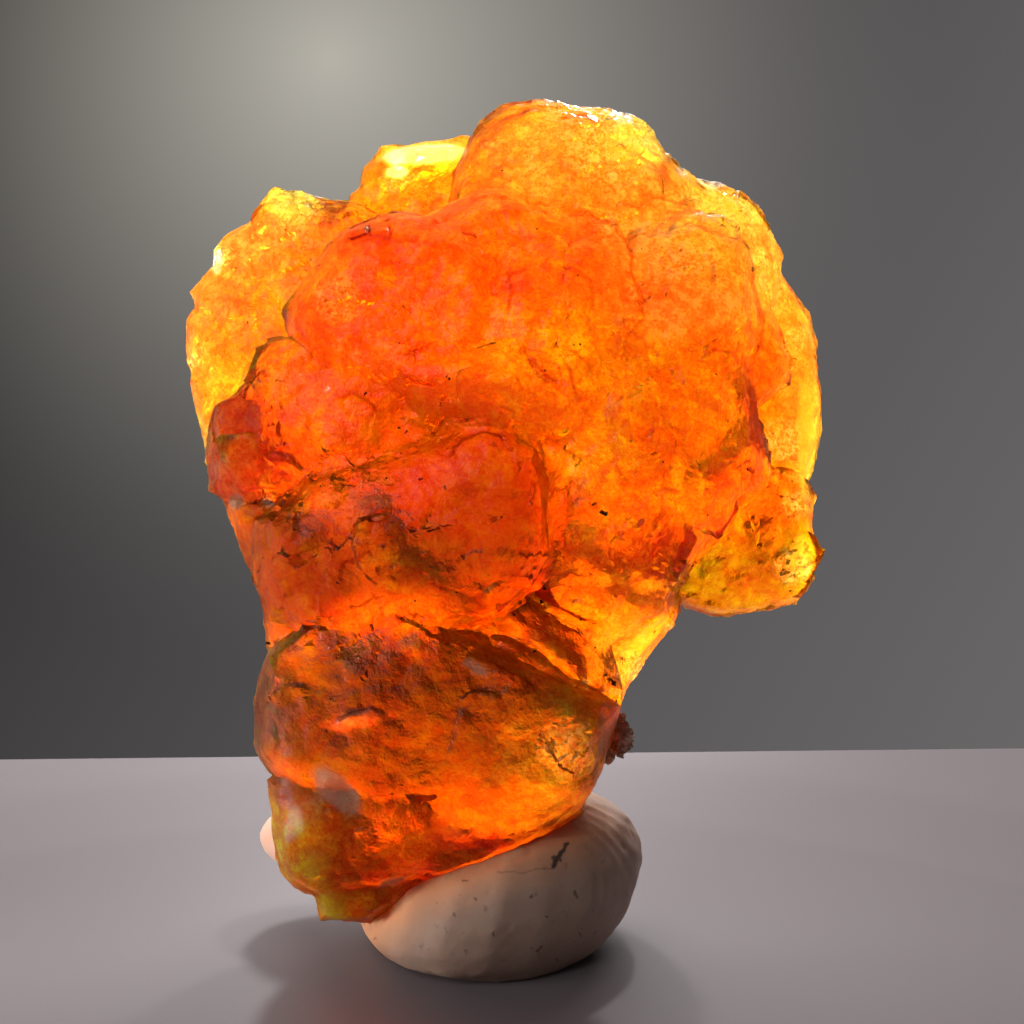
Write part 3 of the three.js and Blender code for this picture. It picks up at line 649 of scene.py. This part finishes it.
def crystal_marks(points, faces):
    """For each point: its painted shade at a ledge's foot, in a hollow or on a steep rim, together with its
    dark cracks, and how crinkled the place is.
    """
    normals = normals_of(points, faces)
    _, line_mark = ledge_relief(points, normals)
    coarse = unit(smoothed(normals, faces, np.ones(len(points)), 14))
    steep = step(1 - (normals * coarse).sum(axis=1), 0.05, 0.3)
    level = smoothed(points, faces, np.ones(len(points)), 6)
    hollow = step(((level - points) * coarse).sum(axis=1), 0.02, 0.10)
    # Painted shade at ledge feet, in hollows and on steep rims, with the cracks.
    edge = np.clip(np.maximum(line_mark, 0.18 * hollow) + 0.09 * steep, 0, 1)
    edge = edge * (1 - 0.6 * step(NECK_TOP - points[:, 2], 0, 4))
    return edge, crinkle(points)


def crystal():
    """The wulfenite itself. Also its surface, points and triangles, for what lies on it."""
    points, faces = crystal_mesh()
    piece = mesh_object("wulfenite", points, faces, MM)
    piece.data.shade_smooth()
    piece.data.set_sharp_from_angle(angle=math.radians(SHADE_ANGLE))
    ahead = front_share(points)
    # Clear faces, some of them painted glints, and yellow faces, some of them painted sparkle.
    bright = np.maximum(patches(points, CLEAR_FACES_AND_GLINTS), YELLOW_SHARE * patches(points, YELLOW))
    paint(piece, "tints", *tinted(points).T, np.ones(len(points)))
    paint(piece, "marks", *crystal_marks(points, faces), patches(points, GREY_REFLECTIONS) * ahead,
          bright * (0.5 + 0.5 * ahead))
    piece.data.materials.append(crystal_material())
    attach(piece, "root")
    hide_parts("wulfenite_cluster")
    return BVHTree.FromPolygons(points.tolist(), faces.tolist()), points, faces


def chip(place, size):
    """A small irregular eight-faced grain."""
    ends = np.array([[1, 0, 0], [0, 1, 0], [-1, 0, 0], [0, -1, 0], [0, 0, 1], [0, 0, -1]])
    turned = np.linalg.qr(random.normal(size=(3, 3)))[0]
    turned[:, 0] *= np.linalg.det(turned)
    corners = (ends * (0.6 + 0.8 * random.random((6, 1))) * size / 2) @ turned.T
    faces = [[k, (k + 1) % 4, 4] for k in range(4)] + [[(k + 1) % 4, k, 5] for k in range(4)]
    return place + corners, np.array(faces)


def inclusions(surface, points, faces):
    """Dark mineral specks in the crystal's skin, as one piece."""
    grains = []
    for x, y, size in SPECKS:
        place = seen_at(surface, x, y)
        if place:
            grains += [chip(np.array(place) + 0.3 * size * PIXEL * random.normal(size=3), size * PIXEL * 0.8)
                       for _ in range(2)]
    places, _ = scattered(points, faces, SPECK_SCATTER)
    grains += [chip(place, 0.06 + 0.14 * random.random()**3) for place in places]
    piece = mesh_object("dark_specks", *joined(grains), MM)
    piece.data.materials.append(speck_material())
    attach(piece, "root")


# ---------------------------------------------------------------- the putty and the matrix

PUTTY_MIDDLE = (490, 893)  # what the finger ridges run round, in pixels
RIDGES_START = (578, 596)  # where they fade in towards the right, in pixels
RIDGES_END = (905, 935)  # where they fade out towards the foot
RIDGE_SPACING = 0.42
RIDGE_HEIGHT = 0.02
TONGUE_STARTS = (11, 12.5)  # how far to the left the lump turns into its pinkish tongue
PAINTED_GLOW_REACH = (0.3, 3.2)  # how far from the crystal its painted glow on the putty fades out
TOUCH_GAP = 0.03  # how far the putty stays inside the crystal's skin where they touch
MATRIX_GRAINS = 420
# Smudges as (darkness, half width in pixels, points).
SMUDGES = [
    (1.0, 2.4, [(554, 866), (557, 858), (562, 852), (566, 845)]), (0.9, 1.8, [(553, 858), (560, 860)]),
    (0.4, 0.8, [(498, 873), (519, 873), (535, 870), (553, 869)]), (0.7, 1.0, [(462, 881), (468, 880)]),
    (0.8, 1.3, [(531, 897), (533, 896)]), (0.7, 1.1, [(574, 893), (578, 898)]),
    (0.8, 1.5, [(537, 950), (540, 947)]), (0.7, 0.9, [(474, 898), (475, 899)]),
    (0.7, 1.0, [(545, 915), (547, 917)]), (0.7, 1.0, [(494, 934), (495, 936)]),
    (0.6, 0.8, [(453, 914), (455, 916)]), (0.7, 0.9, [(579, 932), (580, 935)]),
    (0.6, 0.8, [(557, 960), (558, 962)]), (0.5, 0.8, [(436, 903), (437, 905)]),
    (0.5, 0.8, [(445, 927), (446, 928)]), (0.5, 0.8, [(374, 938), (376, 939)]),
]


def smudge_detail(middle):
    """Longest edge allowed at a place of the putty: short by the smudges."""
    pixels = in_view(middle)
    longest = np.full(len(middle), UNSPLIT)
    for _, _, line in SMUDGES:
        near = np.flatnonzero(near_line(pixels, line, 0.2) & (middle[:, 1] < 2))
        longest[near] = SMUDGE_EDGE
    return longest


def pressed_lump(crystal_surface):
    """The putty's form: lumpy, with finger ridges on its right, and pressed close round the root."""
    points, faces = through(*node_solid("putty_lump"), "REMESH", mode="VOXEL", voxel_size=PUTTY_VOXEL)
    points = smoothed(points, faces, step(points[:, 2], 0.1, 0.8), 14)
    normals = normals_of(points, faces)
    pixels = in_view(points)
    out = np.hypot((pixels[:, 0] - PUTTY_MIDDLE[0]) / 1.6, pixels[:, 1] - PUTTY_MIDDLE[1]) * PIXEL
    right = step(pixels[:, 0], *RIDGES_START) * (1 - step(pixels[:, 1], *RIDGES_END))
    right = right * (normals[:, 1] < 0.4)
    phase = 2 * math.pi * (out + 0.12 * soft_noise(points, 2.0, 84)) / RIDGE_SPACING
    ridges = RIDGE_HEIGHT * np.sin(phase) * right
    lumps = 0.16 * soft_noise(points, 3.0, 81) + 0.05 * rough_noise(points, 1.0, 82)
    pits = -0.05 * step(soft_noise(points, 0.55, 83), 0.55, 0.9)
    clear = step(points[:, 2], 0.0, 0.6)
    points = points + normals * ((ridges + lumps + pits) * clear)[:, None]
    for k in np.flatnonzero(points[:, 2] > 1):
        near, normal, _, away = crystal_surface.find_nearest(Vector(points[k]), 0.6)
        if near:
            share = 1 - step(np.array(away), 0.38, 0.6)
            points[k] += (np.array(near) - TOUCH_GAP * np.array(normal) - points[k]) * share
    points[:, 2] = np.maximum(points[:, 2], 0)
    return split_long(points, faces, smudge_detail, 90)[:2]


def smudged(points):
    """How dark each point of the putty is smudged, from 0 to 1."""
    smudge = np.zeros(len(points))
    pixels = in_view(points) + 3.5 * wandering(points, 0.35, (85, 86))
    for darkness, width, line in SMUDGES:
        side, _ = along_line(pixels, line)
        dark = darkness * (1 - step(np.abs(side) / PIXEL, width * 0.6, width * 1.5)) * (points[:, 1] < 2)
        smudge = np.maximum(smudge, dark)
    return smudge


def putty(crystal_surface):
    """The lump that holds the crystal up, with the crystal's glow painted on near it, its smudges and its
    pinkish tongue.
    """
    points, faces = pressed_lump(crystal_surface)
    away = np.array([crystal_surface.find_nearest(Vector(point))[3] for point in points])
    piece = mesh_object("putty", points, faces, MM)
    piece.data.shade_smooth()
    painted_glow, tongue = 1 - step(away, *PAINTED_GLOW_REACH), step(-points[:, 0], *TONGUE_STARTS)
    paint(piece, "marks", smudged(points), painted_glow, tongue, np.ones(len(points)))
    piece.data.materials.append(putty_material())
    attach(piece, "root")
    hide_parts("putty_lump")


def matrix_crust():
    """The rusty rock left on the crystal's side, as a crust of broken grains."""
    solid, solid_faces = node_solid("rusty_matrix")
    places, facings = scattered(solid, solid_faces, MATRIX_GRAINS)
    grains = [chip(place - facing * 0.12, 0.22 + 0.3 * random.random())
              for place, facing in zip(places, facings)]
    core = through(solid, solid_faces, "REMESH", mode="VOXEL", voxel_size=MATRIX_VOXEL)
    normals = normals_of(*core)
    worn = core[0] + normals * (0.1 * rough_noise(core[0], 0.7, 91) - 0.05)[:, None]
    piece = mesh_object("matrix_crust", *joined([(worn, core[1]), *grains]), MM)
    piece.data.materials.append(matrix_material())
    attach(piece, "root")
    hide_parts("rusty_matrix")


# ---------------------------------------------------------------- materials

class Nodes:
    """A short way to write a material's nodes: calls make nodes, and keyword values fill inputs."""

    def __init__(self, name):
        self.material = bpy.data.materials.new(name)
        self.material.use_nodes = True
        self.tree = self.material.node_tree
        self.tree.nodes.clear()

    def add(self, kind, settings=None, **inputs):
        made = self.tree.nodes.new("ShaderNode" + kind)
        for key, value in (settings or {}).items():
            setattr(made, key, value)
        for key, value in inputs.items():
            self.fill(made.inputs[key.replace("_", " ")], value)
        return made

    def fill(self, socket, value):
        if isinstance(value, bpy.types.NodeSocket):
            self.tree.links.new(value, socket)
        else:
            socket.default_value = value

    def math(self, operation, *values):
        made = self.add("Math", {"operation": operation})
        for socket, value in zip(made.inputs, values):
            self.fill(socket, value)
        return made.outputs[0]

    def ramp(self, value, *stops):
        """Colours by a value; stops are (value, colour)."""
        made = self.add("ValToRGB", Fac=value)
        elements = made.color_ramp.elements
        while len(elements) < len(stops):
            elements.new(1.0)
        for element, (position, color) in zip(elements, stops):
            element.position = position
            element.color = (*color, 1)
        return made.outputs["Color"]

    def mix(self, share, first, second, blend="MIX"):
        made = self.add("Mix", {"data_type": "RGBA", "blend_type": blend})
        self.fill(made.inputs[0], share)
        self.fill(made.inputs[6], first)
        self.fill(made.inputs[7], second)
        return made.outputs[2]

    def noise(self, place, scale, detail=3.0, roughness=0.55):
        made = self.add("TexNoise", Vector=place, Scale=scale, Detail=detail, Roughness=roughness)
        return made.outputs["Fac"]

    def finish(self, surface, volume=None):
        out = self.add("OutputMaterial", Surface=surface)
        if volume:
            self.fill(out.inputs["Volume"], volume)
        return self.material


def crystal_material():
    """Rough glass that soaks up blue and green, coloured where the light goes through its skin."""
    n = Nodes("wulfenite")
    place = n.add("TexCoord").outputs["Object"]
    painted = n.add("Attribute", {"attribute_name": "marks"}).outputs
    marks = n.add("SeparateColor", Color=painted["Color"])
    edge, crinkled, grey_reflection = (marks.outputs[name] for name in ("Red", "Green", "Blue"))
    mottle = n.noise(place, 1300.0, 3.0, 0.7)
    grain = n.noise(place, 4500.0, 2.0, 0.6)
    tint = n.add("Attribute", {"attribute_name": "tints"}).outputs["Color"]
    # Painted shade and light all over: fine dark lines and light flecks that stand in for the shading of a
    # finely crinkled relief.
    relief_shade_and_light = n.ramp(mottle, (0.34, (0.88, 0.56, 0.4)), (0.43, (0.96, 0.80, 0.75)), (0.47, (0.80, 0.42, 0.3)),
                   (0.51, (0.98, 0.95, 0.9)), (0.66, (1.0, 1.3, 1.7)))
    tint = n.mix(1.0, tint, relief_shade_and_light, "MULTIPLY")
    tint = n.mix(1.0, tint, n.ramp(grain, (0.34, (0.90, 0.65, 0.5)), (0.66, (1.0, 1.3, 1.5))), "MULTIPLY")
    # Crinkled places: painted shade in the creases, painted light on the flanks, and here and there a
    # painted sparkle.
    crease_shade_and_light = n.ramp(grain, (0.42, (0.70, 0.26, 0.01)), (0.50, (1.0, 0.62, 0.04)), (0.58, (1.0, 1.0, 0.30)))
    tint = n.mix(n.math("MULTIPLY", crinkled, 0.6), tint, crease_shade_and_light)
    painted_sparkle = n.math("MULTIPLY", crinkled, n.ramp(mottle, (0.555, (0, 0, 0)), (0.58, (1, 1, 1))))
    tint = n.mix(painted_sparkle, tint, (1.0, 1.0, 0.4, 1))
    # Painted shade at the feet of ledges, in hollows and on steep rims, with the dark cracks; a painted grey
    # reflection on some faces; and faces that are yellow or as clear as glass, some of them painted glints
    # and sparkle.
    tint = n.mix(edge, tint, n.mix(1.0, tint, (0.42, 0.13, 0.05, 1), "MULTIPLY"))
    tint = n.mix(n.math("MULTIPLY", grey_reflection, 0.7), tint, (0.60, 0.36, 0.26, 1))
    bright = n.ramp(painted["Alpha"], (0.45, (1.0, 0.85, 0.06)), (0.75, (1.0, 1.0, 0.97)))
    tint = n.mix(painted["Alpha"], tint, bright)
    fine = n.add("Bump", Strength=0.8, Distance=0.00018, Height=mottle)
    body = n.add("BsdfPrincipled", Base_Color=tint, Normal=fine.outputs["Normal"])
    body.inputs["Roughness"].default_value = 0.34
    body.inputs["IOR"].default_value = 1.33
    body.inputs["Specular IOR Level"].default_value = 0.0
    body.inputs["Subsurface Weight"].default_value = 0.5
    body.inputs["Subsurface Radius"].default_value = (1.0, 0.3, 0.05)
    body.inputs["Subsurface Scale"].default_value = 0.008
    n.fill(body.inputs["Coat Weight"], n.math("MULTIPLY_ADD", crinkled, 0.9, 0.03))
    body.inputs["Coat Roughness"].default_value = 0.03
    n.fill(body.inputs["Transmission Weight"], n.math("MULTIPLY_ADD", grey_reflection, -0.6, 0.76))
    inside = n.add("VolumeAbsorption")
    inside.inputs["Color"].default_value = (0.97, 0.87, 0.68, 1)
    inside.inputs["Density"].default_value = 1000.0
    return n.finish(body.outputs["BSDF"], inside.outputs["Volume"])


def speck_material():
    """Dark brown mineral grains."""
    n = Nodes("dark_specks")
    place = n.add("TexCoord").outputs["Object"]
    color = n.ramp(n.noise(place, 3000.0), (0.3, (0.02, 0.006, 0.003)), (0.7, (0.09, 0.02, 0.008)))
    body = n.add("BsdfPrincipled", Base_Color=color)
    body.inputs["Roughness"].default_value = 0.5
    return n.finish(body.outputs["BSDF"])


def putty_material():
    """Grey putty with dark grain, dirty smudges, and the crystal's orange glow painted on where it is near.
    """
    n = Nodes("putty")
    place = n.add("TexCoord").outputs["Object"]
    marks = n.add("SeparateColor", Color=n.add("Attribute", {"attribute_name": "marks"}).outputs["Color"])
    smudge, painted_glow, tongue = (marks.outputs[name] for name in ("Red", "Green", "Blue"))
    clouds = n.noise(place, 220.0, 4.0, 0.6)
    grain = n.noise(place, 1800.0, 3.0, 0.6)
    color = n.ramp(clouds, (0.32, (0.35, 0.215, 0.16)), (0.68, (0.47, 0.325, 0.245)))
    color = n.mix(n.ramp(grain, (0.62, (0, 0, 0)), (0.74, (0.6, 0.6, 0.6))), color, (0.16, 0.10, 0.09, 1))
    color = n.mix(tongue, color, (0.72, 0.42, 0.30, 1))
    # The crystal's glow, painted on the putty near it.
    color = n.mix(n.math("MULTIPLY", painted_glow, 0.55), color, (0.85, 0.34, 0.12, 1))
    color = n.mix(n.math("MULTIPLY", smudge, 0.9), color, (0.035, 0.022, 0.022, 1))
    fine = n.add("Bump", Strength=0.3, Distance=0.00008, Height=grain)
    body = n.add("BsdfPrincipled", Base_Color=color, Normal=fine.outputs["Normal"])
    body.inputs["Roughness"].default_value = 0.55
    body.inputs["Subsurface Weight"].default_value = 0.25
    body.inputs["Subsurface Radius"].default_value = (1.0, 0.5, 0.3)
    body.inputs["Subsurface Scale"].default_value = 0.002
    return n.finish(body.outputs["BSDF"])


def matrix_material():
    """Rusty rock whose grains glitter here and there."""
    n = Nodes("matrix")
    place = n.add("TexCoord").outputs["Object"]
    color = n.ramp(n.noise(place, 1400.0, 4.0), (0.3, (0.16, 0.07, 0.035)), (0.5, (0.60, 0.30, 0.17)),
                   (0.7, (0.85, 0.62, 0.52)))
    gloss = n.ramp(n.noise(place, 3000.0), (0.45, (0.6, 0.6, 0.6)), (0.6, (0.12, 0.12, 0.12)))
    body = n.add("BsdfPrincipled", Base_Color=color, Roughness=gloss)
    return n.finish(body.outputs["BSDF"])


def plain_material(name, color, rough):
    """One even colour, for what isn't part of the specimen."""
    n = Nodes(name)
    body = n.add("BsdfPrincipled")
    body.inputs["Base Color"].default_value = (*color, 1)
    body.inputs["Roughness"].default_value = rough
    return n.finish(body.outputs["BSDF"])


# ---------------------------------------------------------------- stage, light and camera

def floor():
    """The pale surface that the putty stands on. It ends a little way behind the specimen."""
    back_left, back_right, front, side, thick = 41, 56, -90, 160, 30
    corners = [(-side, front), (side, front), (side, back_right), (-side, back_left)]
    points = [[x, y, z] for z in (0, -thick) for x, y in corners]
    faces = [[0, 1, 2, 3], [7, 6, 5, 4], [0, 4, 5, 1], [1, 5, 6, 2], [2, 6, 7, 3], [3, 7, 4, 0]]
    thing = mesh_object("floor", points, faces, MM)
    thing.data.materials.append(plain_material("floor", (0.18, 0.150, 0.158), 0.5))


def backdrop():
    """A grey sheet behind the specimen with a soft glow above its left shoulder."""
    far, half, low, high = 260, 420, -120, 520
    glow_middle, glow_scale = (-0.056, far * MM, 0.167), 5.0  # in metres
    corners = [[-half, far, low], [half, far, low], [half, far, high], [-half, far, high]]
    thing = mesh_object("backdrop", corners, [[0, 1, 2, 3]], MM)
    n = Nodes("backdrop")
    place = n.add("TexCoord").outputs["Object"]
    centred = n.add("VectorMath", {"operation": "SUBTRACT"}, Vector=place)
    centred.inputs[1].default_value = glow_middle
    scaled = n.add("VectorMath", {"operation": "SCALE"}, Vector=centred.outputs[0], Scale=glow_scale)
    glow = n.add("TexGradient", {"gradient_type": "QUADRATIC_SPHERE"}, Vector=scaled.outputs[0])
    glow = n.ramp(glow.outputs["Fac"], (0.0, (0, 0, 0)), (1.0, (0.42, 0.42, 0.36)))
    axes = n.add("SeparateXYZ", Vector=place).outputs
    across = n.math("MULTIPLY_ADD", axes["X"], 0.27, 0.09)
    lift = n.math("MULTIPLY_ADD", axes["Z"], -0.15, across)
    both = n.mix(1.0, glow, n.add("CombineColor", Red=lift, Green=lift, Blue=lift).outputs[0], "ADD")
    both = n.mix(1.0, both, (1.0, 0.95, 0.96, 1), "MULTIPLY")
    thing.data.materials.append(n.finish(n.add("Emission", Color=both).outputs[0]))
    world = bpy.data.worlds.new("room")
    bpy.context.scene.world = world
    world.use_nodes = True
    world.node_tree.nodes["Background"].inputs["Color"].default_value = (0.045, 0.043, 0.045, 1)


def area_light(name, place, target, size, power, glossy=True, spread=180):
    """A round lamp, size across, turned to its target. Power is in watts, and spread in degrees."""
    light = bpy.data.lights.new(name, "AREA")
    light.shape = "DISK"
    light.size = size * MM
    light.energy = power
    light.spread = math.radians(spread)
    thing = bpy.data.objects.new(name, light)
    thing.location = Vector(place) * MM
    thing.rotation_euler = (Vector(target) - Vector(place)).to_track_quat("-Z", "Y").to_euler()
    thing.visible_camera = False
    thing.visible_glossy = glossy
    bpy.context.scene.collection.objects.link(thing)


def camera():
    """The front view."""
    lens = bpy.data.cameras.new("camera")
    lens.lens = LENS
    lens.sensor_width = SENSOR
    lens.clip_start = 0.001
    lens.clip_end = 10
    thing = bpy.data.objects.new("camera", lens)
    thing.location = Vector(EYE) * MM
    thing.rotation_euler = (math.pi / 2, 0, 0)
    bpy.context.scene.collection.objects.link(thing)
    bpy.context.scene.camera = thing


floor()
backdrop()
area_light("back_sheet", (-15, 120, 105), (0, 0, 28), 270, 0.72, glossy=False)
area_light("back_lamp", (-22, 100, 84), (0, 0, 30), 16, 0.05)
area_light("low_sheet", (0, 70, 16), (-4, 0, 6), 44, 0.022, glossy=False)
area_light("base_lamp", (-62, -12, 6), (-14, -1, 5), 12, 0.002, glossy=False, spread=50)
area_light("left_lamp", (-120, 60, 30), (-15, 0, 25), 60, 0.04, glossy=False)
area_light("front", (-120, -140, 120), (0, 0, 20), 120, 0.10, glossy=False)
area_light("rim_lamp", (34, 110, 150), (4, 0, 46), 12, 0.006, spread=40)
area_light("glint_lamp", (-60, -120, 110), (0, 0, 28), 6, 0.016)
camera()
surface, points, faces = crystal()
inclusions(surface, points, faces)
putty(surface)
matrix_crust()
bpy.context.scene.view_settings.view_transform = "Standard"
